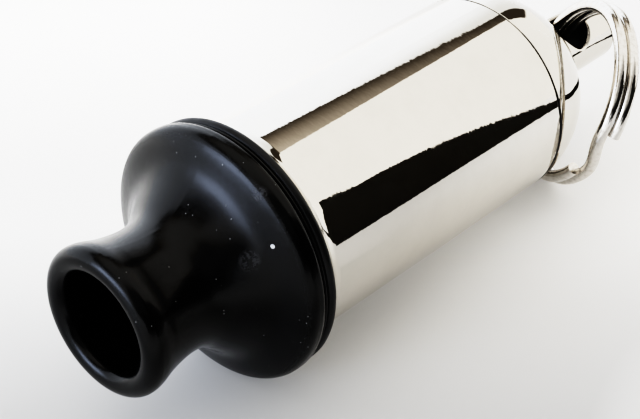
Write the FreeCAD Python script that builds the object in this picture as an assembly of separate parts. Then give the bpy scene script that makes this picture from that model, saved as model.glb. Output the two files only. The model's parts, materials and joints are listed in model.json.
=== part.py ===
import FreeCAD, Part
import math
import os

# Mouth-blown siren whistle used for training animals: a black mouthpiece on a nickelled
# brass barrel, a vaned rotor cartridge inside, a domed rear cap, and a stud with a split ring.
# All sizes are in millimetres. +X runs along the whistle's axis from the mouth to the ring,
# +Z is up. The origin is on the axis, in the plane of the mouthpiece flange's rim.

# --- barrel ---
BARREL_R = 10.0
BARREL_WALL = 0.8
BARREL_BORE_R = BARREL_R - BARREL_WALL
BARREL_FRONT_X = 2.1
BARREL_REAR_X = 34.35
FLARE_LENGTH = 1.9            # the front edge turns outward over this length
FLARE_HEIGHT = 1.2
FLARE_EDGE = 0.2              # rounding of the flared edge
BARREL_EDGE_ROUND = 0.12      # softened rear edge, which draws the seam against the cap
FIT_GAP = 0.04                # radial gap of the pieces that push into the barrel
INSERT_R = BARREL_BORE_R - FIT_GAP

# --- mouthpiece ---
MOUTH_TIP_X = -13.6
MOUTH_BORE_R = 4.55
LIP_R = 6.7
LIP_OUTER_ROUND = 1.1
LIP_INNER_ROUND = 1.0
NECK_X = -7.0
NECK_R = 5.75
FLANGE_R = 11.66
FLANGE_RIM_X = -0.265         # the flange's edge is a short cylinder from here to its back round
FLANGE_FRONT_ROUND = 1.08
FLANGE_FACE_TILT = 35.0       # where the front round meets the dished face, away from square
FLANGE_BACK_ROUND = 0.65
FLANGE_BACK_X = 0.75
SPIGOT_END_X = 8.0
SPIGOT_CHAMFER = 0.4
GASKET_R = 11.48
GASKET_NECK_R = 11.1          # in front of its bead the gasket is this radius, with a thin rib
GASKET_BEAD_X = 1.15
GASKET_RIB_X = 0.95
GASKET_RIB_HALF = 0.08
GASKET_RIB_R = 11.32
O_RING_X = 5.3
O_RING_WIRE_R = 0.55
O_RING_GROOVE_R = BARREL_BORE_R - 2 * O_RING_WIRE_R
O_RING_GROOVE_HALF = 0.7

# --- rotor cartridge ---
STATOR_LENGTH = 3.0
STATOR_END_X = SPIGOT_END_X + STATOR_LENGTH
SLOT_COUNT = 8
SLOT_INNER_R = 3.2
SLOT_OUTER_R = 8.0
SLOT_WIDTH = 1.5
SLOT_SLANT = 30.0
SLEEVE_R_IN = 8.75
BRIDGE_X = 18.0
BRIDGE_LENGTH = 2.0
BRIDGE_RING_R_IN = 7.9
BRIDGE_ARM_COUNT = 3
BRIDGE_ARM_WIDTH = 2.2
ROTOR_X = 11.9
ROTOR_LENGTH = 3.0
ROTOR_R = 8.5
SPINDLE_R = 0.8
JOURNAL_R = 0.6
RUNNING_GAP = 0.05            # radial running clearance of the journals in their bushes
BUSH_R = 1.6
COLLAR_R = 1.9
HUB_BOSS_R = 2.6
HUB_BOSS_END_X = 22.6
SNAP_GROOVE_R = BARREL_BORE_R + 0.25
SNAP_RING_THICK = 0.85
SNAP_RING_X = BRIDGE_X + BRIDGE_LENGTH
SNAP_GAP_WIDTH = 3.0
SCREW_R = 1.2
SCREW_END_X = 25.0
SCREW_SLOT = 0.4
LOCK_NUT_FLATS = 4.5

# --- domed rear cap ---
DOME_WALL = 0.8
SKIRT_FRONT_X = 29.5
SKIRT_R_IN = 8.4
STUD_R = 3.1
STUD_SEAT_X = BARREL_REAR_X + math.sqrt(BARREL_R ** 2 - STUD_R ** 2)
SEAT_PAD_R = 3.2
SEAT_PAD_X = 42.5
SOUND_SLOT_COUNT = 3
SOUND_SLOT_R = 4.55           # pitch radius of the sound slots round the stud
SOUND_SLOT_WIDTH = 1.5
SOUND_SLOT_SPAN = 74.0
SOUND_SLOT_FIRST = 90.0

# --- stud and split ring ---
STUD_END_X = 53.4
STUD_END_ROUND = 0.5
THREAD_R = 1.5
THREAD_END_X = 39.9
STUD_WASHER_R = 2.9
STUD_WASHER_THICK = 0.4
STUD_NUT_FLATS = 5.0
STUD_NUT_THICK = 1.6
EYE_X = 47.9
EYE_R = 2.15
EYE_EDGE_ROUND = 0.25
EYE_LEAN = 18.5               # the cross hole leans this far from upright, towards -Y
RING_MEAN_R = 8.57
RING_WIRE_R = 0.62
COIL_OFFSET = 0.64            # each coil's distance from the ring's middle plane
RING_AZIMUTH = -35.7          # direction of the ring's normal, round +Z from +X
RING_DIP = -22.1              # and its angle above the horizontal
RING_HANG = 8.2               # how far the eye sits above the ring's centre, in its plane
RING_SLACK = 1.12             # the wire's middle runs this far beyond the eye's own centre
RING_SHIFT = -0.2             # and the ring sits this far along its normal from the eye's centre
CROSSING_START = 170.0        # where the wire passes from one coil to the other
CROSSING_SPAN = 34.0

X_AXIS = FreeCAD.Vector(1, 0, 0)
ORIGIN = FreeCAD.Vector(0, 0, 0)


def at(x, r):
    """A point of a turned outline: x along the axis, r away from it."""
    return FreeCAD.Vector(x, 0, r)


def line(a, b):
    return Part.LineSegment(at(*a), at(*b)).toShape()


def arc(a, middle, b):
    return Part.Arc(at(*a), at(*middle), at(*b)).toShape()


def corner_arc(a, b, centre):
    """A quarter-round from a to b about centre."""
    ax, ar = a[0] - centre[0], a[1] - centre[1]
    bx, br = b[0] - centre[0], b[1] - centre[1]
    radius = math.hypot(ax, ar)
    length = math.hypot(ax + bx, ar + br)
    middle = (centre[0] + (ax + bx) * radius / length, centre[1] + (ar + br) * radius / length)
    return arc(a, middle, b)


def turned(edges):
    """Revolves a closed outline, given as edges in the plane of x and r, about the axis."""
    face = Part.Face(Part.Wire(Part.__sortEdges__(edges)))
    return face.revolve(ORIGIN, X_AXIS, 360)


def turned_points(points):
    closed = points + points[:1]
    return turned([line(a, b) for a, b in zip(closed, closed[1:])])


def cylinder(x0, x1, r):
    return Part.makeCylinder(r, x1 - x0, at(x0, 0), X_AXIS)


def turned_ring(x0, x1, r_in, r_out, chamfer):
    """A plain ring whose four edges are broken by a small chamfer."""
    c = chamfer
    return turned_points([
        (x0, r_in + c), (x0 + c, r_in), (x1 - c, r_in), (x1, r_in + c),
        (x1, r_out - c), (x1 - c, r_out), (x0 + c, r_out), (x0, r_out - c),
    ])


def turn(shape, angle):
    """A copy of shape turned about the whistle's axis."""
    copy = shape.copy()
    copy.rotate(ORIGIN, X_AXIS, angle)
    return copy


def around(shape, count, first=0.0):
    return [turn(shape, first + i * 360.0 / count) for i in range(count)]


def hexagon(x0, x1, flats):
    radius = flats / math.sqrt(3)
    corners = [math.radians(60 * i) for i in range(7)]
    points = [FreeCAD.Vector(x0, radius * math.cos(a), radius * math.sin(a)) for a in corners]
    return Part.Face(Part.makePolygon(points)).extrude(FreeCAD.Vector(x1 - x0, 0, 0))


def hex_nut(x0, x1, flats, bore_r):
    """A hexagon nut with its corners turned off on both faces."""
    edge = 0.3
    blank = turned_ring(x0, x1, bore_r, flats / math.sqrt(3), edge)
    return hexagon(x0, x1, flats).common(blank)


def slanted_slots(x0, x1, slant):
    """Cutters for radial slots through a disc, slanted so that the air is turned about the axis."""
    over = 0.2
    shift = math.tan(math.radians(slant)) * (x1 - x0 + 2 * over) / 2
    half = SLOT_WIDTH / 2
    corners = [
        (x0 - over, -half - shift), (x0 - over, half - shift),
        (x1 + over, half + shift), (x1 + over, -half + shift),
    ]
    points = [FreeCAD.Vector(x, y, SLOT_INNER_R) for x, y in corners + corners[:1]]
    cutter = Part.Face(Part.makePolygon(points)).extrude(
        FreeCAD.Vector(0, 0, SLOT_OUTER_R - SLOT_INNER_R))
    return around(cutter, SLOT_COUNT)


def mouthpiece():
    bore, lip, tip = MOUTH_BORE_R, LIP_R, MOUTH_TIP_X
    inner, outer = LIP_INNER_ROUND, LIP_OUTER_ROUND
    tilt, middle = math.radians(FLANGE_FACE_TILT), math.radians((FLANGE_FACE_TILT + 90) / 2)
    round_r, round_centre_r = FLANGE_FRONT_ROUND, FLANGE_R - FLANGE_FRONT_ROUND

    def on_front_round(angle):
        return (FLANGE_RIM_X - round_r * math.cos(angle), round_centre_r + round_r * math.sin(angle))

    shoulder = on_front_round(tilt)
    rim_front = (FLANGE_RIM_X, FLANGE_R)
    rim = (FLANGE_BACK_X - FLANGE_BACK_ROUND, FLANGE_R)
    bell = Part.BSplineCurve()
    bell.interpolate(
        Points=[at(tip + outer, lip), at(-10.9, 6.34), at(-8.9, 5.88), at(NECK_X, NECK_R),
                at(-5.4, 6.1), at(-3.9, 7.15), at(-2.32, 8.8), at(-1.7, 10.1), at(*shoulder)],
        Tangents=[at(1, 0)] + [at(0, 0)] * 7 + [at(math.sin(tilt), math.cos(tilt))],
        TangentFlags=[True] + [False] * 7 + [True])
    back_edge = (FLANGE_BACK_X, FLANGE_R - FLANGE_BACK_ROUND)
    groove_front = (O_RING_X - O_RING_GROOVE_HALF, O_RING_X + O_RING_GROOVE_HALF)
    end, r, c = SPIGOT_END_X, INSERT_R, SPIGOT_CHAMFER
    edges = [
        line((end, bore), (tip + inner, bore)),
        corner_arc((tip + inner, bore), (tip, bore + inner), (tip + inner, bore + inner)),
        line((tip, bore + inner), (tip, lip - outer)),
        corner_arc((tip, lip - outer), (tip + outer, lip), (tip + outer, lip - outer)),
        bell.toShape(),
        arc(shoulder, on_front_round(middle), rim_front),
        line(rim_front, rim),
        corner_arc(rim, back_edge, (rim[0], back_edge[1])),
        line(back_edge, (FLANGE_BACK_X, r)),
        line((FLANGE_BACK_X, r), (groove_front[0], r)),
        line((groove_front[0], r), (groove_front[0], O_RING_GROOVE_R)),
        line((groove_front[0], O_RING_GROOVE_R), (groove_front[1], O_RING_GROOVE_R)),
        line((groove_front[1], O_RING_GROOVE_R), (groove_front[1], r)),
        line((groove_front[1], r), (end - c, r)),
        line((end - c, r), (end, r - c)),
        line((end, r - c), (end, bore)),
    ]
    return turned(edges)


def flange_gasket():
    """The soft black ring squeezed between the mouthpiece's flange and the barrel's edge."""
    front, rear, bead = FLANGE_BACK_X, BARREL_FRONT_X, GASKET_BEAD_X
    rib0, rib1 = GASKET_RIB_X - GASKET_RIB_HALF, GASKET_RIB_X + GASKET_RIB_HALF
    neck, r_in = GASKET_NECK_R, BARREL_BORE_R
    edges = [
        line((front, neck), (front, r_in)),
        line((front, r_in), (rear, r_in)),
        line((rear, r_in), (rear, neck)),
        arc((rear, neck), ((bead + rear) / 2, GASKET_R), (bead, neck)),
        line((bead, neck), (rib1, neck)),
        arc((rib1, neck), (GASKET_RIB_X, GASKET_RIB_R), (rib0, neck)),
        line((rib0, neck), (front, neck)),
    ]
    return turned(edges)


def spigot_o_ring():
    """Seals the spigot in the barrel, drawn as seated in its groove."""
    centre_r = O_RING_GROOVE_R + O_RING_WIRE_R
    ring = Part.makeTorus(centre_r, O_RING_WIRE_R - 0.01, at(O_RING_X, 0), X_AXIS)
    return ring


def barrel():
    r, bore = BARREL_R, BARREL_BORE_R
    front, rear = BARREL_FRONT_X, BARREL_REAR_X
    run, rise = FLARE_LENGTH, FLARE_HEIGHT
    bend_r = (run ** 2 + rise ** 2) / (2 * rise)
    centre = (front + run, r + bend_r)

    def on_bend(radius, x):
        return (x, centre[1] - math.sqrt(radius ** 2 - (centre[0] - x) ** 2))

    half = front + run / 2
    inner_r = bend_r + BARREL_WALL
    top = on_bend(bend_r, front + FLARE_EDGE)
    bottom = on_bend(inner_r, front)
    soft = BARREL_EDGE_ROUND
    edges = [
        line(bottom, (front, top[1] - FLARE_EDGE)),
        corner_arc((front, top[1] - FLARE_EDGE), top, (top[0], top[1] - FLARE_EDGE)),
        arc(top, on_bend(bend_r, half), (front + run, r)),
        line((front + run, r), (rear - soft, r)),
        corner_arc((rear - soft, r), (rear, r - soft), (rear - soft, r - soft)),
        line((rear, r - soft), (rear, bore)),
        line((rear, bore), (front + run, bore)),
        arc((front + run, bore), on_bend(inner_r, half), bottom),
    ]
    tube = turned(edges)
    groove_end = SNAP_RING_X + SNAP_RING_THICK + 0.1
    return tube.cut(cylinder(SNAP_RING_X, groove_end, SNAP_GROOVE_R))


def stator_disc():
    """The fixed disc whose slanted slots aim the breath at the rotor."""
    disc = turned_ring(SPIGOT_END_X, STATOR_END_X, BUSH_R, INSERT_R, 0.15)
    return disc.cut(slanted_slots(SPIGOT_END_X, STATOR_END_X, -SLOT_SLANT))


def front_bearing_bush():
    return turned_ring(SPIGOT_END_X, STATOR_END_X, JOURNAL_R + RUNNING_GAP, BUSH_R, 0.1)


def front_thrust_washer():
    return turned_ring(STATOR_END_X, STATOR_END_X + 0.3, JOURNAL_R + RUNNING_GAP, COLLAR_R, 0.05)


def spacer_sleeve():
    """Keeps the stator and the rear bridge apart and lines the rotor's chamber."""
    return turned_ring(STATOR_END_X, BRIDGE_X, SLEEVE_R_IN, INSERT_R, 0.1)


def rotor_wheel():
    disc = turned_ring(ROTOR_X, ROTOR_X + ROTOR_LENGTH, COLLAR_R, ROTOR_R, 0.15)
    return disc.cut(slanted_slots(ROTOR_X, ROTOR_X + ROTOR_LENGTH, SLOT_SLANT))


def rotor_collar():
    """Holds the wheel on the spindle: a sleeve through it, with a shoulder behind it."""
    x0, x1 = STATOR_END_X + 0.4, ROTOR_X + ROTOR_LENGTH
    return turned_points([
        (x0, SPINDLE_R), (x1 + 1.2, SPINDLE_R), (x1 + 1.2, 2.4), (x1 + 1.0, 2.6),
        (x1, 2.6), (x1, COLLAR_R), (x0, COLLAR_R),
    ])


def rotor_spindle():
    x0, x1 = SPIGOT_END_X + 0.3, SNAP_RING_X + 0.5
    mid0, mid1 = STATOR_END_X + 0.4, BRIDGE_X - 0.4
    point = 0.15
    return turned_points([
        (x0, 0), (x0, JOURNAL_R - point), (x0 + point, JOURNAL_R), (mid0, JOURNAL_R),
        (mid0, SPINDLE_R), (mid1, SPINDLE_R), (mid1, JOURNAL_R),
        (x1 - point, JOURNAL_R), (x1, JOURNAL_R - point), (x1, 0),
    ])


def rear_thrust_washer():
    return turned_ring(BRIDGE_X - 0.3, BRIDGE_X, JOURNAL_R + RUNNING_GAP, COLLAR_R, 0.05)


def rear_bridge():
    """A spider: an outer ring and three arms that carry the rear bearing's boss."""
    x1 = BRIDGE_X + BRIDGE_LENGTH
    rim = turned_ring(BRIDGE_X, x1, BRIDGE_RING_R_IN, INSERT_R, 0.15)
    boss = cylinder(BRIDGE_X, HUB_BOSS_END_X, HUB_BOSS_R)
    arm = Part.makeBox(BRIDGE_LENGTH, BRIDGE_ARM_WIDTH, BRIDGE_RING_R_IN + 0.4,
                       FreeCAD.Vector(BRIDGE_X, -BRIDGE_ARM_WIDTH / 2, 0))
    body = rim.fuse([boss] + around(arm, BRIDGE_ARM_COUNT)).removeSplitter()
    return body.cut([cylinder(BRIDGE_X, x1, BUSH_R), cylinder(x1, HUB_BOSS_END_X, SCREW_R)])


def rear_bearing_bush():
    return turned_ring(BRIDGE_X, SNAP_RING_X, JOURNAL_R + RUNNING_GAP, BUSH_R, 0.1)


def end_play_screw():
    """A slotted screw whose end sets how far the spindle may float."""
    x0 = SNAP_RING_X + 0.55
    body = turned_points([
        (x0, 0), (x0, 0.4), (x0 + 0.4, SCREW_R), (SCREW_END_X - 0.2, SCREW_R),
        (SCREW_END_X, SCREW_R - 0.2), (SCREW_END_X, 0),
    ])
    slot = Part.makeBox(0.7, SCREW_SLOT, 2 * SCREW_R,
                        FreeCAD.Vector(SCREW_END_X - 0.6, -SCREW_SLOT / 2, -SCREW_R))
    return body.cut(slot)


def end_play_lock_nut():
    return hex_nut(HUB_BOSS_END_X, HUB_BOSS_END_X + 1.5, LOCK_NUT_FLATS, SCREW_R)


def cartridge_snap_ring():
    """An open ring sprung into the barrel's groove: it keeps the cartridge in."""
    ring = turned_ring(SNAP_RING_X, SNAP_RING_X + SNAP_RING_THICK, BRIDGE_RING_R_IN,
                       SNAP_GROOVE_R - 0.02, 0.08)
    gap = Part.makeBox(2, SNAP_GAP_WIDTH, 4,
                       FreeCAD.Vector(SNAP_RING_X - 0.5, -SNAP_GAP_WIDTH / 2, -10.5))
    return ring.cut(gap)


def sound_slot():
    """Cutter for one curved slot with round ends, through the dome."""
    x0, x1 = SEAT_PAD_X - 3.5, STUD_SEAT_X + 0.5
    half = SOUND_SLOT_WIDTH / 2
    outer = cylinder(x0, x1, SOUND_SLOT_R + half)
    band = outer.cut(cylinder(x0, x1, SOUND_SLOT_R - half))
    wedge_points = [FreeCAD.Vector(x0, 0, 0)]
    for angle in (-SOUND_SLOT_SPAN / 2, 0, SOUND_SLOT_SPAN / 2):
        a = math.radians(angle)
        wedge_points.append(FreeCAD.Vector(x0, 9 * math.sin(a), 9 * math.cos(a)))
    wedge = Part.Face(Part.makePolygon(wedge_points + wedge_points[:1]))
    band = band.common(wedge.extrude(FreeCAD.Vector(x1 - x0, 0, 0)))
    end = Part.makeCylinder(half, x1 - x0, at(x0, SOUND_SLOT_R), X_AXIS)
    ends = [turn(end, -SOUND_SLOT_SPAN / 2), turn(end, SOUND_SLOT_SPAN / 2)]
    return band.fuse(ends)


def rear_cap():
    x0, dome = BARREL_REAR_X, BARREL_R
    inner = dome - DOME_WALL
    soft = 0.08
    skirt_r = INSERT_R

    def on_dome(radius, r):
        return (x0 + math.sqrt(radius ** 2 - r ** 2), r)

    start = on_dome(dome, dome * math.sqrt(1 - 0.012 ** 2))
    seat = on_dome(dome, STUD_R)
    pad_root = on_dome(inner, SEAT_PAD_R)
    skirt_root = on_dome(inner, SKIRT_R_IN)
    edges = [
        line((SKIRT_FRONT_X, SKIRT_R_IN), (SKIRT_FRONT_X, skirt_r - 0.2)),
        line((SKIRT_FRONT_X, skirt_r - 0.2), (SKIRT_FRONT_X + 0.2, skirt_r)),
        line((SKIRT_FRONT_X + 0.2, skirt_r), (x0, skirt_r)),
        line((x0, skirt_r), (x0, dome - soft)),
        line((x0, dome - soft), start),
        arc(start, on_dome(dome, dome * math.sin(math.radians(45))), seat),
        line(seat, (seat[0], THREAD_R)),
        line((seat[0], THREAD_R), (SEAT_PAD_X, THREAD_R)),
        line((SEAT_PAD_X, THREAD_R), (SEAT_PAD_X, SEAT_PAD_R)),
        line((SEAT_PAD_X, SEAT_PAD_R), pad_root),
        arc(pad_root, on_dome(inner, inner * math.sin(math.radians(45))), skirt_root),
        line(skirt_root, (SKIRT_FRONT_X, SKIRT_R_IN)),
    ]
    cap = turned(edges)
    return cap.cut(around(sound_slot(), SOUND_SLOT_COUNT, SOUND_SLOT_FIRST))


def stud_washer():
    return turned_ring(SEAT_PAD_X - STUD_WASHER_THICK, SEAT_PAD_X, THREAD_R, STUD_WASHER_R, 0.05)


def stud_nut():
    x1 = SEAT_PAD_X - STUD_WASHER_THICK
    return hex_nut(x1 - STUD_NUT_THICK, x1, STUD_NUT_FLATS, THREAD_R)


def eye_axis():
    """Direction of the stud's cross hole, upwards."""
    lean = math.radians(EYE_LEAN)
    return FreeCAD.Vector(0, -math.sin(lean), math.cos(lean))


def ring_stud():
    """The post on the dome: a threaded tail, a round body and a cross hole for the ring."""
    end, r, soft = STUD_END_X, STUD_R, STUD_END_ROUND
    seat = STUD_SEAT_X
    edges = [
        line((THREAD_END_X, 0), (THREAD_END_X, THREAD_R - 0.3)),
        line((THREAD_END_X, THREAD_R - 0.3), (THREAD_END_X + 0.3, THREAD_R)),
        line((THREAD_END_X + 0.3, THREAD_R), (seat, THREAD_R)),
        line((seat, THREAD_R), (seat, r)),
        line((seat, r), (end - soft, r)),
        corner_arc((end - soft, r), (end, r - soft), (end - soft, r - soft)),
        line((end, r - soft), (end, 0)),
        line((end, 0), (THREAD_END_X, 0)),
    ]
    post = turned(edges)
    axis = eye_axis()
    reach = STUD_R + 1
    start = FreeCAD.Vector(EYE_X, 0, 0) - axis * reach
    drilled = post.cut(Part.makeCylinder(EYE_R, 2 * reach, start, axis))
    mouths = [e for e in drilled.Edges if is_eye_mouth(e)]
    return drilled.makeFillet(EYE_EDGE_ROUND, mouths)


def is_eye_mouth(edge):
    """True for the two curved edges where the cross hole breaks through the post's side."""
    box = edge.BoundBox
    inside = box.XMin > EYE_X - EYE_R - 0.1 and box.XMax < EYE_X + EYE_R + 0.1
    return inside and box.XLength > 2 * EYE_R - 0.1


def ring_frame():
    """The split ring's centre, its normal and two directions in its plane, the first to the eye."""
    azimuth, dip = math.radians(RING_AZIMUTH), math.radians(RING_DIP)
    hang = math.radians(RING_HANG)
    normal = FreeCAD.Vector(math.cos(dip) * math.cos(azimuth),
                            math.cos(dip) * math.sin(azimuth), math.sin(dip))
    level = FreeCAD.Vector(-math.sin(azimuth), math.cos(azimuth), 0)
    rising = normal.cross(level)
    to_eye = level * math.cos(hang) + rising * math.sin(hang)
    centre = FreeCAD.Vector(EYE_X, 0, 0) - to_eye * (RING_MEAN_R - RING_SLACK)
    centre += normal * RING_SHIFT
    return centre, normal, to_eye, normal.cross(to_eye)


def split_ring():
    """Two coils of one wire, side by side, crossing from one to the other in a short window."""
    centre, normal, to_eye, along = ring_frame()
    cross_end = CROSSING_START + CROSSING_SPAN
    first, last = cross_end, CROSSING_START + 720.0
    step = 6.0
    count = int((last - first) / step)
    points = []
    for i in range(count + 1):
        angle = first + (last - first) * i / count
        passed = (angle - (CROSSING_START + 360.0)) / CROSSING_SPAN
        passed = min(max(passed, 0.0), 1.0)
        offset = -COIL_OFFSET * math.cos(math.pi * passed)
        a = math.radians(angle)
        round_ring = to_eye * math.cos(a) + along * math.sin(a)
        points.append(centre + round_ring * RING_MEAN_R + normal * offset)
    path = Part.BSplineCurve()
    path.interpolate(points)
    a = math.radians(first)
    forward = along * math.cos(a) - to_eye * math.sin(a)
    section = Part.Wire(Part.makeCircle(RING_WIRE_R, points[0], forward))
    return Part.Wire(path.toShape()).makePipeShell([section], True, False)


PIECES = {
    "mouthpiece": mouthpiece,
    "flange_gasket": flange_gasket,
    "spigot_o_ring": spigot_o_ring,
    "barrel": barrel,
    "stator_disc": stator_disc,
    "front_bearing_bush": front_bearing_bush,
    "front_thrust_washer": front_thrust_washer,
    "spacer_sleeve": spacer_sleeve,
    "rotor_wheel": rotor_wheel,
    "rotor_collar": rotor_collar,
    "rotor_spindle": rotor_spindle,
    "rear_thrust_washer": rear_thrust_washer,
    "rear_bridge": rear_bridge,
    "rear_bearing_bush": rear_bearing_bush,
    "end_play_screw": end_play_screw,
    "end_play_lock_nut": end_play_lock_nut,
    "cartridge_snap_ring": cartridge_snap_ring,
    "rear_cap": rear_cap,
    "stud_washer": stud_washer,
    "stud_nut": stud_nut,
    "ring_stud": ring_stud,
    "split_ring": split_ring,
}

os.makedirs("parts", exist_ok=True)
for name, build in PIECES.items():
    shape = build()
    solids = shape.Solids
    assert solids and shape.isValid(), name
    whole = solids[0] if len(solids) == 1 else Part.makeCompound(solids)
    whole.exportStep("parts/" + name + ".step")
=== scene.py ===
import json
import math

import bmesh
import bpy
from mathutils import Matrix, Vector

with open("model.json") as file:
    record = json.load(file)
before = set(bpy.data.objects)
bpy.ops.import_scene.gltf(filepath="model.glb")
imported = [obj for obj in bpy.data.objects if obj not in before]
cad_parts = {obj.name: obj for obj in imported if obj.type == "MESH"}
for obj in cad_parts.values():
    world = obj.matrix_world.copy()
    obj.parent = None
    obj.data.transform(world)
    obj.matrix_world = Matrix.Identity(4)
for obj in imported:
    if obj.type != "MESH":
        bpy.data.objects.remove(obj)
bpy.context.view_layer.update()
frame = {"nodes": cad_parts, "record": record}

MM = 0.001

# --- camera: the direction it looks from, what it looks at and how far away it is ---
VIEW_AZIMUTH = -47.1         # degrees: 0 looks from -Y, negative is round towards the mouth
VIEW_ELEVATION = 34.9
VIEW_DISTANCE = 133.0 * MM
VIEW_AIM = Vector((6.73, -5.13, 3.37)) * MM
LENS = 90.0

# --- places on the whistle that the dark seam line, the painted shade in the stud's eye and the wear follow (mm, degrees) ---
BARREL_R = 10.0
SEAM_X = 34.35               # the line where the barrel meets its cap
EYE_X = 47.9                 # the stud's cross hole, and how far it leans round the axis
EYE_R = 2.15
EYE_LEAN = 18.5
SHOULDER_R = 11.25           # the flange's shoulder, which gets rubbed
SCUFF_AT = (-0.95, -6.0, 9.15)
SCUFF_SIZE = 0.75
RUB_AT = (-3.1, -6.7, 4.2)
RUB_SIZE = 1.0
SPECK_AT = (-1.84, -8.04, 5.6)
SPECK_SIZE = 0.17

# --- colours of the black moulding, its wear and dust, the nickel's dark seam line and the painted shade in the stud's eye ---
PLASTIC_COLOUR = (0.002, 0.002, 0.002)
HAZY_PLASTIC_COLOUR = (0.006, 0.006, 0.0065)
WORN_PLASTIC_COLOUR = (0.09, 0.09, 0.095)
DUST_COLOUR = (0.55, 0.56, 0.56)
# the nickel's dark seam line, and the painted shade inside the stud's cross hole
SEAM_LINE_AND_EYE_SHADE_COLOUR = (0.012, 0.010, 0.008)

# --- studio: the world's azimuths and elevations are in degrees, azimuth 0 is +X and 90 is +Y ---
WINDOW_TOP = 40.0            # where the bright window on the +Y side ends
WINDOW_SIDE = 21.0
WINDOW_COLOUR = (2.4, 2.5, 2.65)
WINDOW_END_COLOUR = (1.45, 1.45, 1.42)
GLARE_COLOUR = (7.6, 8.5, 10.4)
FRAME_COLOUR = (0.13, 0.11, 0.09)
FRAME_TOP_COLOUR = (0.74, 0.67, 0.58)
CEILING_COLOUR = (1.75, 1.70, 1.60)
HALF_SHADE_COLOUR = (0.36, 0.36, 0.36)
SHADE_COLOUR = (0.06, 0.06, 0.065)
BACK_LIGHT_COLOUR = (2.1, 2.15, 2.2)
# painted light: the colour the table glows with
TABLE_PAINTED_LIGHT_COLOUR = (1.0, 0.985, 0.95)
FLOOR_HALF = 1.2
FILM_TOE = 0.27              # the picture's contrast: larger is darker
FILM_SLOPE = 2.2
FILM_BRIGHTEST = 8.0         # the film's curve ends here, at white


# ---------------------------------------------------------------- node helpers

class Nodes:
    """A short way to write a node tree: each call adds one node and returns its output socket."""

    def __init__(self, tree):
        self.tree = tree

    def add(self, kind, inputs=(), output=0, **settings):
        node = self.tree.nodes.new(kind)
        for key, value in settings.items():
            setattr(node, key, value)
        for key, value in dict(inputs).items():
            self.feed(node.inputs[key], value)
        return node.outputs[output] if len(node.outputs) else None

    def feed(self, socket, value):
        if isinstance(value, bpy.types.NodeSocket):
            self.tree.links.new(value, socket)
        else:
            socket.default_value = value

    def math(self, operation, a, b=0.0, clamp=False):
        return self.add("ShaderNodeMath", {0: a, 1: b}, operation=operation, use_clamp=clamp)

    def vector_math(self, operation, a, b=(0.0, 0.0, 0.0)):
        return self.add("ShaderNodeVectorMath", {0: a, 1: b}, operation=operation)

    def ramp(self, value, low, high, to_low=0.0, to_high=1.0, smooth=True):
        """value mapped from low..high to to_low..to_high, held outside."""
        kind = "SMOOTHSTEP" if smooth else "LINEAR"
        return self.add("ShaderNodeMapRange",
                        {0: value, 1: low, 2: high, 3: to_low, 4: to_high},
                        interpolation_type=kind)

    def mix(self, factor, a, b):
        """Colour a where factor is 0 and b where it is 1."""
        node = self.tree.nodes.new("ShaderNodeMix")
        node.data_type = "RGBA"
        self.feed(node.inputs[0], factor)
        self.feed(node.inputs[6], a)
        self.feed(node.inputs[7], b)
        return node.outputs[2]

    def noise(self, vector, scale, detail=3.0, roughness=0.5, distortion=0.0):
        return self.add("ShaderNodeTexNoise",
                        {"Vector": vector, "Scale": scale, "Detail": detail,
                         "Roughness": roughness, "Distortion": distortion})

    def position(self):
        """Object coordinates in millimetres."""
        here = self.add("ShaderNodeTexCoord", output=3)
        return self.vector_math("MULTIPLY", here, (1000.0, 1000.0, 1000.0))

    def separate(self, vector):
        node = self.tree.nodes.new("ShaderNodeSeparateXYZ")
        self.feed(node.inputs[0], vector)
        return node.outputs

    def combine(self, x, y, z):
        return self.add("ShaderNodeCombineXYZ", {0: x, 1: y, 2: z})

    def bump(self, height, strength, distance, normal=None):
        inputs = {"Height": height, "Strength": strength, "Distance": distance}
        if normal is not None:
            inputs["Normal"] = normal
        return self.add("ShaderNodeBump", inputs)


def rgba(colour):
    return (colour[0], colour[1], colour[2], 1.0)


def new_material(name):
    material = bpy.data.materials.new(name)
    material.use_nodes = True
    material.node_tree.nodes.clear()
    return material, Nodes(material.node_tree)


def finish_material(nodes, **inputs):
    """Adds the surface shader with the given inputs, and the output node."""
    names = {
        "colour": "Base Color", "metallic": "Metallic", "roughness": "Roughness",
        "normal": "Normal", "specular": "Specular IOR Level",
        "glow": "Emission Color", "glow_strength": "Emission Strength",
    }
    surface = nodes.add("ShaderNodeBsdfPrincipled", {names[k]: v for k, v in inputs.items()})
    nodes.add("ShaderNodeOutputMaterial", {"Surface": surface})


def cylinder_coordinates(nodes):
    """Round the whistle's axis, in mm: x, the way round the barrel, the distance from the axis."""
    x, y, z = nodes.separate(nodes.position())[:3]
    angle = nodes.math("ARCTAN2", z, y)
    radius = nodes.math("SQRT", nodes.math("ADD", nodes.math("MULTIPLY", y, y),
                                           nodes.math("MULTIPLY", z, z)))
    return x, nodes.math("MULTIPLY", angle, BARREL_R), radius


# ---------------------------------------------------------------- materials

def seam_dark_line(n, x, around):
    """1 in the line where the barrel meets its cap, thicker low on the sides."""
    angle = n.math("MULTIPLY", around, 1.0 / BARREL_R)
    low = n.ramp(n.math("SINE", angle), 0.9, -0.2, 0.06, 0.2)
    wander = n.noise(n.combine(x, n.math("MULTIPLY", around, 0.5), 0.0), 1.5, 2.0, 0.5)
    width = n.math("MULTIPLY", low, n.ramp(wander, 0.3, 0.7, 0.8, 1.3))
    away = n.math("ABSOLUTE", n.math("SUBTRACT", x, SEAM_X))
    return n.ramp(n.math("SUBTRACT", away, width), 0.03, -0.01)


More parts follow.
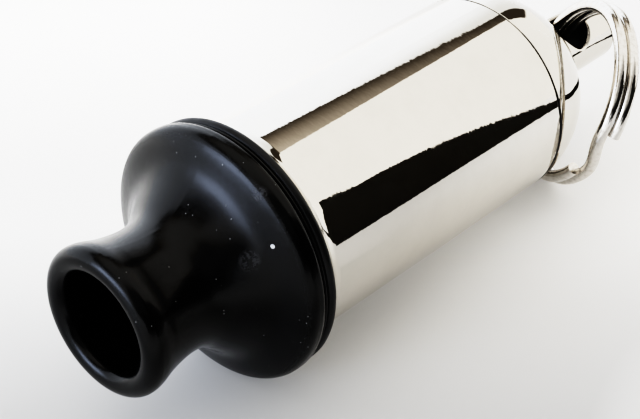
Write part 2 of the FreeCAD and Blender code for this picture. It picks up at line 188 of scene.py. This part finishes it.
def painted_eye_shade(n, here):
    """1 inside the cross hole of the stud, where shade is painted dark."""
    lean = math.radians(EYE_LEAN)
    from_eye = n.vector_math("SUBTRACT", here, (EYE_X, 0.0, 0.0))
    across = n.vector_math("CROSS_PRODUCT", from_eye, (0.0, -math.sin(lean), math.cos(lean)))
    reach = n.add("ShaderNodeVectorMath", {0: across}, output=1, operation="LENGTH")
    return n.ramp(reach, EYE_R + 0.06, EYE_R + 0.01)


def nickel(name, colour, roughness, waviness):
    """Mirror nickel plate: faint haze and smears, a polish that ripples the reflections."""
    material, n = new_material(name)
    here = n.position()
    x, around, radius = cylinder_coordinates(n)
    haze = n.noise(here, 0.35, 4.0, 0.6)
    smear = n.noise(n.combine(n.math("MULTIPLY", x, 0.25), around, radius), 0.9, 5.0, 0.65)
    tint = n.mix(n.ramp(haze, 0.35, 0.75), rgba(colour), rgba([c * 0.96 for c in colour]))
    rough = n.math("ADD", n.ramp(smear, 0.45, 0.8, roughness, roughness + 0.05),
                   n.ramp(haze, 0.5, 0.8, 0.0, 0.02))
    ripple = n.noise(n.combine(n.math("MULTIPLY", x, 0.9), n.math("MULTIPLY", around, 0.5),
                               radius), 0.8, 2.0, 0.5)
    grain = n.noise(n.combine(n.math("MULTIPLY", x, 4.0), n.math("MULTIPLY", around, 2.0),
                              radius), 1.2, 2.0, 0.5)
    # a dark line at the seam, and painted shade inside the stud's cross hole
    seam_line_and_painted_eye_shade = n.math("MAXIMUM", seam_dark_line(n, x, around), painted_eye_shade(n, here))
    tint = n.mix(seam_line_and_painted_eye_shade, tint, rgba(SEAM_LINE_AND_EYE_SHADE_COLOUR))
    rough = n.math("ADD", rough, n.math("MULTIPLY", seam_line_and_painted_eye_shade, 0.45))
    normal = n.bump(ripple, waviness, 0.02 * MM)
    normal = n.bump(grain, waviness, 0.004 * MM, normal)
    finish_material(n, colour=tint, metallic=n.math("SUBTRACT", 1.0, seam_line_and_painted_eye_shade), roughness=rough,
                    normal=normal)
    return material


def wire_nickel():
    """The ring's wire: bright plate with draw marks and small knocks."""
    material, n = new_material("ring_wire_nickel")
    here = n.position()
    knocks = n.noise(here, 2.2, 4.0, 0.6)
    marks = n.noise(here, 9.0, 2.0, 0.5)
    colour = n.mix(n.ramp(knocks, 0.4, 0.75), (0.68, 0.66, 0.63, 1.0), (0.56, 0.53, 0.49, 1.0))
    rough = n.ramp(knocks, 0.4, 0.8, 0.06, 0.16)
    normal = n.bump(knocks, 0.5, 0.02 * MM)
    normal = n.bump(marks, 0.4, 0.003 * MM, normal)
    finish_material(n, colour=colour, metallic=1.0, roughness=rough, normal=normal)
    return material


def near(n, here, place, size, ragged):
    """1 within size of a place, with a ragged edge."""
    away = n.add("ShaderNodeVectorMath", {0: here, 1: place}, output=1, operation="DISTANCE")
    return n.ramp(n.math("ADD", away, n.math("MULTIPLY", ragged, size)), size * 1.6, size * 1.2)


def dust_specks(n, here):
    """1 in small specks of dust, which gather in patches."""
    specks = n.add("ShaderNodeTexVoronoi", {"Vector": here, "Scale": 1.3, "Randomness": 1.0})
    patchy = n.noise(here, 0.5, 2.0, 0.5)
    return n.math("MULTIPLY", n.ramp(specks, 0.09, 0.05), n.ramp(patchy, 0.46, 0.56))


def fine_scratches(n, here):
    """1 along thin scratches, drawn out along the whistle."""
    stretched = n.vector_math("MULTIPLY", here, (1.0, 5.0, 5.0))
    scratch = n.noise(stretched, 1.3, 6.0, 0.75, 0.6)
    return n.ramp(n.math("ABSOLUTE", n.math("SUBTRACT", scratch, 0.5)), 0.012, 0.0)


def flange_shoulder(n):
    """1 in the ring on the flange's front that hands rub."""
    x, around, radius = cylinder_coordinates(n)
    ring = n.ramp(n.math("ABSOLUTE", n.math("SUBTRACT", radius, SHOULDER_R)), 0.3, 0.05)
    return n.math("MULTIPLY", ring, n.ramp(x, -0.3, -0.6))


def worn_places(n, here, coarse, shoulder):
    """How far the plastic has gone grey: a scuff, a rub lower down and flecks on the shoulder."""
    scuff = n.math("MULTIPLY", near(n, here, SCUFF_AT, SCUFF_SIZE, coarse), n.ramp(coarse, 0.42, 0.6))
    rub = n.math("MULTIPLY", near(n, here, RUB_AT, RUB_SIZE, coarse), n.ramp(coarse, 0.45, 0.58))
    flecks = n.math("MULTIPLY", shoulder, n.ramp(n.noise(here, 7.0, 3.0, 0.7), 0.56, 0.68))
    lighter = n.math("MAXIMUM", n.math("MULTIPLY", flecks, 0.5), n.math("MULTIPLY", rub, 0.7))
    return n.math("MAXIMUM", scuff, lighter)


def black_plastic():
    """Satin black moulding with handling haze, dust, short scratches and worn places on the flange."""
    material, n = new_material("satin_black_plastic")
    here = n.position()
    haze = n.noise(here, 0.25, 5.0, 0.6)
    fine = n.noise(here, 14.0, 3.0, 0.6)
    coarse = n.noise(here, 3.0, 4.0, 0.65)
    speck = near(n, here, SPECK_AT, SPECK_SIZE, 0.3)
    dust = n.math("MAXIMUM", dust_specks(n, here), speck)
    scratches = fine_scratches(n, here)
    shoulder = flange_shoulder(n)
    worn = worn_places(n, here, coarse, shoulder)

    colour = n.mix(n.ramp(haze, 0.35, 0.75), rgba(PLASTIC_COLOUR), rgba(HAZY_PLASTIC_COLOUR))
    colour = n.mix(n.math("MULTIPLY", worn, 0.5), colour, rgba(WORN_PLASTIC_COLOUR))
    white = n.math("MAXIMUM", n.math("MULTIPLY", dust, 0.35), speck)
    colour = n.mix(white, colour, rgba(DUST_COLOUR))

    dull = n.math("MAXIMUM", worn, n.math("MULTIPLY", shoulder, 0.4))
    rough = n.math("ADD", n.ramp(haze, 0.3, 0.75, 0.14, 0.25), n.math("MULTIPLY", scratches, 0.05))
    rough = n.math("ADD", rough, n.math("MULTIPLY", dull, 0.2))

    height = n.math("ADD", fine, n.math("MULTIPLY", dust, 2.0))
    height = n.math("SUBTRACT", height, n.math("MULTIPLY", scratches, 0.4))
    height = n.math("ADD", height, n.math("MULTIPLY", worn, n.math("MULTIPLY", coarse, 4.0)))
    normal = n.bump(height, 0.25, 0.012 * MM)
    finish_material(n, colour=colour, roughness=rough, normal=normal, specular=0.38)
    return material


def black_rubber():
    """Soft black rubber, a little cloudy."""
    material, n = new_material("soft_black_rubber")
    here = n.position()
    grain = n.noise(here, 10.0, 4.0, 0.7)
    cloud = n.noise(here, 0.6, 3.0, 0.5)
    colour = n.mix(cloud, (0.006, 0.006, 0.006, 1.0), (0.014, 0.014, 0.015, 1.0))
    rough = n.ramp(cloud, 0.3, 0.7, 0.35, 0.5)
    finish_material(n, colour=colour, roughness=rough, normal=n.bump(grain, 0.3, 0.01 * MM))
    return material


def turned_metal(name, colour, dark, roughness):
    """Lathe-turned metal: fine rings round the axis and some tarnish."""
    material, n = new_material(name)
    here = n.position()
    x, around, radius = cylinder_coordinates(n)
    lathe = n.noise(n.combine(n.math("MULTIPLY", x, 6.0), n.math("MULTIPLY", around, 0.02),
                              n.math("MULTIPLY", radius, 6.0)), 2.0, 3.0, 0.6)
    tarnish = n.noise(here, 0.7, 4.0, 0.6)
    tone = n.mix(n.ramp(tarnish, 0.4, 0.7), rgba(colour), rgba(dark))
    rough = n.math("ADD", n.ramp(tarnish, 0.35, 0.7, roughness, roughness + 0.15),
                   n.math("MULTIPLY", lathe, 0.08))
    finish_material(n, colour=tone, metallic=1.0, roughness=rough,
                    normal=n.bump(lathe, 0.35, 0.01 * MM))
    return material


MATERIALS = {
    "nickel_plate": nickel("polished_nickel_plate", (0.66, 0.635, 0.59), 0.02, 0.35),
    "ring_wire": wire_nickel(),
    "black_plastic": black_plastic(),
    "black_rubber": black_rubber(),
    "brass": turned_metal("turned_brass", (0.78, 0.58, 0.28), (0.55, 0.38, 0.17), 0.22),
    "bronze": turned_metal("sintered_bronze", (0.55, 0.34, 0.18), (0.36, 0.21, 0.11), 0.35),
    "steel": turned_metal("turned_steel", (0.60, 0.60, 0.61), (0.42, 0.42, 0.43), 0.2),
    "rotor_alloy": turned_metal("machined_aluminium", (0.80, 0.81, 0.82), (0.62, 0.62, 0.63), 0.25),
}


def dress_cad_nodes():
    slots = {s["node"]: s["material_slot"] for s in frame["record"]["subparts"]}
    for name, piece in frame["nodes"].items():
        material = MATERIALS[slots[name]]
        for slot in piece.material_slots:
            slot.material = material


# ---------------------------------------------------------------- studio

def lowest_point(node):
    return min((v.co for v in frame["nodes"][node].data.vertices), key=lambda co: co.z)


def floor_plane():
    """The table top: a point on it and its slope along X. The whistle lies on its flange and its ring."""
    front, rear = lowest_point("mouthpiece"), lowest_point("split_ring")
    slope = (rear.z - front.z) / (rear.x - front.x)
    return front, math.atan(slope)


def table_height(x):
    front, tilt = floor_plane()
    return front.z + (x - front.x) * math.tan(tilt)


def view_plan():
    """The camera's forward and right directions, seen from above."""
    azimuth = math.radians(VIEW_AZIMUTH)
    forward = (-math.sin(azimuth), math.cos(azimuth))
    right = (math.cos(azimuth), math.sin(azimuth))
    return forward, right


def distance_along(n, x, y, direction):
    return n.math("ADD", n.math("MULTIPLY", x, direction[0]), n.math("MULTIPLY", y, direction[1]))


def pale_table_painted_light():
    """A pale table top, with painted shade darkening it next to the whistle and painted window light
    washing it beyond, as a glow.
    Distances are in mm from where the flange stands."""
    material, n = new_material("pale_table_painted_light")
    here = n.position()
    cloud = n.noise(here, 0.02, 3.0, 0.5)
    colour = n.mix(cloud, (0.76, 0.755, 0.745, 1.0), (0.80, 0.795, 0.785, 1.0))
    forward, right = view_plan()
    x, y = n.separate(here)[:2]
    ahead = distance_along(n, x, y, forward)
    aside = distance_along(n, x, y, right)

    # painted shade and light: the table's colour is darkened near the whistle and lightened further off
    # and to the sides
    beyond = n.ramp(ahead, -8.0, 20.0, 0.6, 1.15, smooth=False)
    in_front = n.ramp(ahead, -16.0, -50.0, 0.6, 1.2)
    beside = n.math("MAXIMUM", n.ramp(aside, 16.0, 38.0), n.ramp(aside, -4.0, -24.0))
    tone = n.math("MAXIMUM", n.math("MAXIMUM", beyond, in_front), n.math("MULTIPLY", beside, 0.8))
    colour = n.vector_math("MULTIPLY", colour, n.combine(tone, tone, tone))

    # painted light: the table glows a little everywhere, more behind the whistle, and strongly far beyond
    # it
    painted_fill_light = n.ramp(ahead, 4.0, 20.0, 0.13, 0.22)
    painted_wash_light = n.math("MULTIPLY", n.ramp(ahead, 26.0, 62.0, 0.0, 0.8), n.ramp(aside, 18.0, -10.0))
    grain = n.noise(here, 1.5, 4.0, 0.6)
    finish_material(n, colour=colour, roughness=0.55, normal=n.bump(grain, 0.05, 0.05 * MM),
                    glow=rgba(TABLE_PAINTED_LIGHT_COLOUR), glow_strength=n.math("ADD", painted_wash_light, painted_fill_light))
    return material


def make_floor():
    front, tilt = floor_plane()
    mesh = bmesh.new()
    bmesh.ops.create_grid(mesh, x_segments=2, y_segments=2, size=FLOOR_HALF)
    data = bpy.data.meshes.new("table_top")
    mesh.to_mesh(data)
    mesh.free()
    data.materials.append(pale_table_painted_light())
    floor = bpy.data.objects.new("table_top", data)
    bpy.context.scene.collection.objects.link(floor)
    floor.matrix_world = Matrix.Translation(front) @ Matrix.Rotation(-tilt, 4, "Y")


def make_dark_shape():
    """A dark thing standing on the table out of the picture, seen only in the whistle's reflections."""
    material, n = new_material("matt_black_card")
    finish_material(n, colour=(0.03, 0.028, 0.025, 1.0), roughness=0.9, specular=0.0)
    # its top edge in mm, from its tall end to its low far end
    near_side = [(10, -98, 95), (38, -90, 82), (57, -77, 64), (65, -70.5, 54), (66, -69.9, 45),
                 (69, -68.3, 42), (73, -66.4, 35), (77, -63, 20), (79.5, -60.5, 9.5)]
    far_end = [(82.7, -56.5, -0.2), (84, -52, -1.6), (84.5, -46, -3), (81, -36, -4), (76, -27, -5),
               (70, -12.5, -6.4), (62, -1, -7.6)]
    top = near_side + far_end
    foot = [(x, y, table_height(x * MM) / MM) for x, y, _ in top]
    count = len(top)
    faces = [(i, i + 1, count + i + 1, count + i) for i in range(count - 1)]
    data = bpy.data.meshes.new("dark_shape")
    data.from_pydata([Vector(corner) * MM for corner in foot + top], [], faces)
    data.materials.append(material)
    shape = bpy.data.objects.new("dark_shape", data)
    bpy.context.scene.collection.objects.link(shape)
    shape.visible_camera = False
    shape.visible_diffuse = False
    shape.visible_shadow = False


def room(n, around, up):
    """The ivory ceiling, the shade of whoever stands behind the camera, and a light low behind them."""
    shade_side = n.math("MULTIPLY", n.ramp(around, -172.0, -136.0), n.ramp(around, -52.0, -66.0))
    half = n.math("MULTIPLY", shade_side, n.ramp(up, 82.0, 48.0, 0.0, 0.85))
    deep = n.math("MULTIPLY", shade_side, n.ramp(up, 30.0, 18.0))
    behind = n.math("MULTIPLY", n.ramp(around, -124.0, -142.0), n.ramp(up, 17.0, 6.0))
    colour = n.mix(half, rgba(CEILING_COLOUR), rgba(HALF_SHADE_COLOUR))
    colour = n.mix(deep, colour, rgba(SHADE_COLOUR))
    return n.mix(behind, colour, rgba(BACK_LIGHT_COLOUR))


def add_window_frame(n, around, up, colour):
    """The window's dark frame, browner and paler upwards, with a slanted foot."""
    edge = n.ramp(up, 36.0, 42.0, 10.5, 12.0)
    past_edge = n.ramp(n.math("SUBTRACT", around, edge), 0.0, 1.0)
    across = n.math("MULTIPLY", past_edge, n.ramp(around, 186.0, 176.0))
    slant = n.math("ADD", up, n.math("MULTIPLY", n.math("SUBTRACT", around, 11.0), 1.7))
    past_side = n.ramp(around, WINDOW_SIDE, WINDOW_SIDE + 1.0)
    foot = n.math("MAXIMUM", n.ramp(slant, 20.0, 23.0), past_side)
    framed = n.math("MULTIPLY", n.math("MULTIPLY", across, foot), n.ramp(up, 62.0, 50.0))
    lift = n.math("POWER", n.ramp(up, WINDOW_TOP, 51.0, smooth=False), 1.3)
    return n.mix(framed, colour, n.mix(lift, rgba(FRAME_COLOUR), rgba(FRAME_TOP_COLOUR)))


def add_window(n, around, up, colour):
    """The window's pane, dimmer at its end nearest +X."""
    pane = n.mix(n.ramp(around, 24.0, 42.0), rgba(WINDOW_END_COLOUR), rgba(WINDOW_COLOUR))
    past_side = n.ramp(around, WINDOW_SIDE, WINDOW_SIDE + 1.0)
    lit = n.math("MULTIPLY", past_side, n.ramp(up, WINDOW_TOP + 0.5, WINDOW_TOP))
    lit = n.math("MULTIPLY", lit, n.ramp(around, 190.0, 172.0))
    return n.mix(lit, colour, pane)


def add_glare(n, around, up, colour):
    """The blue sky glare at the window's far end, low on the -X side and running past azimuth 180."""
    turn = n.math("ADD", around, n.ramp(around, 0.0, -0.1, 0.0, 360.0, smooth=False))
    beside = n.math("MULTIPLY", n.ramp(turn, 136.0, 148.0), n.ramp(turn, 202.0, 168.0))
    low = n.math("MULTIPLY", n.ramp(up, 32.0, 26.0), n.ramp(up, 4.0, 13.0))
    return n.mix(n.math("MULTIPLY", beside, low), colour, rgba(GLARE_COLOUR))


def make_world():
    """A pale room with one bright window. It gives all the light but the painted light glowing from the
    table.
    """
    world = bpy.data.worlds.new("studio")
    bpy.context.scene.world = world
    world.use_nodes = True
    world.node_tree.nodes.clear()
    n = Nodes(world.node_tree)
    direction = n.add("ShaderNodeTexCoord", output=0)
    x, y, z = n.separate(direction)[:3]
    up = n.math("MULTIPLY", n.math("ARCSINE", z), 180.0 / math.pi)
    around = n.math("MULTIPLY", n.math("ARCTAN2", y, x), 180.0 / math.pi)
    colour = room(n, around, up)
    for add in (add_window_frame, add_window, add_glare):
        colour = add(n, around, up, colour)
    background = n.add("ShaderNodeBackground", {"Color": colour, "Strength": 1.0})
    n.add("ShaderNodeOutputWorld", {"Surface": background})


def make_camera():
    azimuth, elevation = math.radians(VIEW_AZIMUTH), math.radians(VIEW_ELEVATION)
    back = Vector((math.sin(azimuth) * math.cos(elevation),
                   -math.cos(azimuth) * math.cos(elevation), math.sin(elevation)))
    data = bpy.data.cameras.new("camera")
    data.lens = LENS
    data.clip_start = 0.005
    data.clip_end = 10.0
    camera = bpy.data.objects.new("camera", data)
    bpy.context.scene.collection.objects.link(camera)
    camera.location = VIEW_AIM + back * VIEW_DISTANCE
    camera.rotation_mode = "QUATERNION"
    camera.rotation_quaternion = (-back).to_track_quat("-Z", "Y")
    bpy.context.scene.camera = camera


def set_view():
    """A contrasty picture: dark tones are pushed down and highlights roll off softly."""
    view = bpy.context.scene.view_settings
    view.view_transform = "Standard"
    view.use_curve_mapping = True
    mapping = view.curve_mapping
    mapping.clip_max_x = FILM_BRIGHTEST
    mapping.use_clip = True
    curve = mapping.curves[3]
    stops = [0.0, 0.03, 0.06, 0.1, 0.16, 0.25, 0.4, 0.6, 0.8, 1.1, 1.5, 2.2, 3.5, FILM_BRIGHTEST]
    while len(curve.points) < len(stops):
        curve.points.new(0.5, 0.5)
    for point, light in zip(curve.points, stops):
        power = light ** FILM_SLOPE
        point.location = (light, power / (power + FILM_TOE))
    mapping.update()


dress_cad_nodes()
make_floor()
make_dark_shape()
make_world()
make_camera()
set_view()
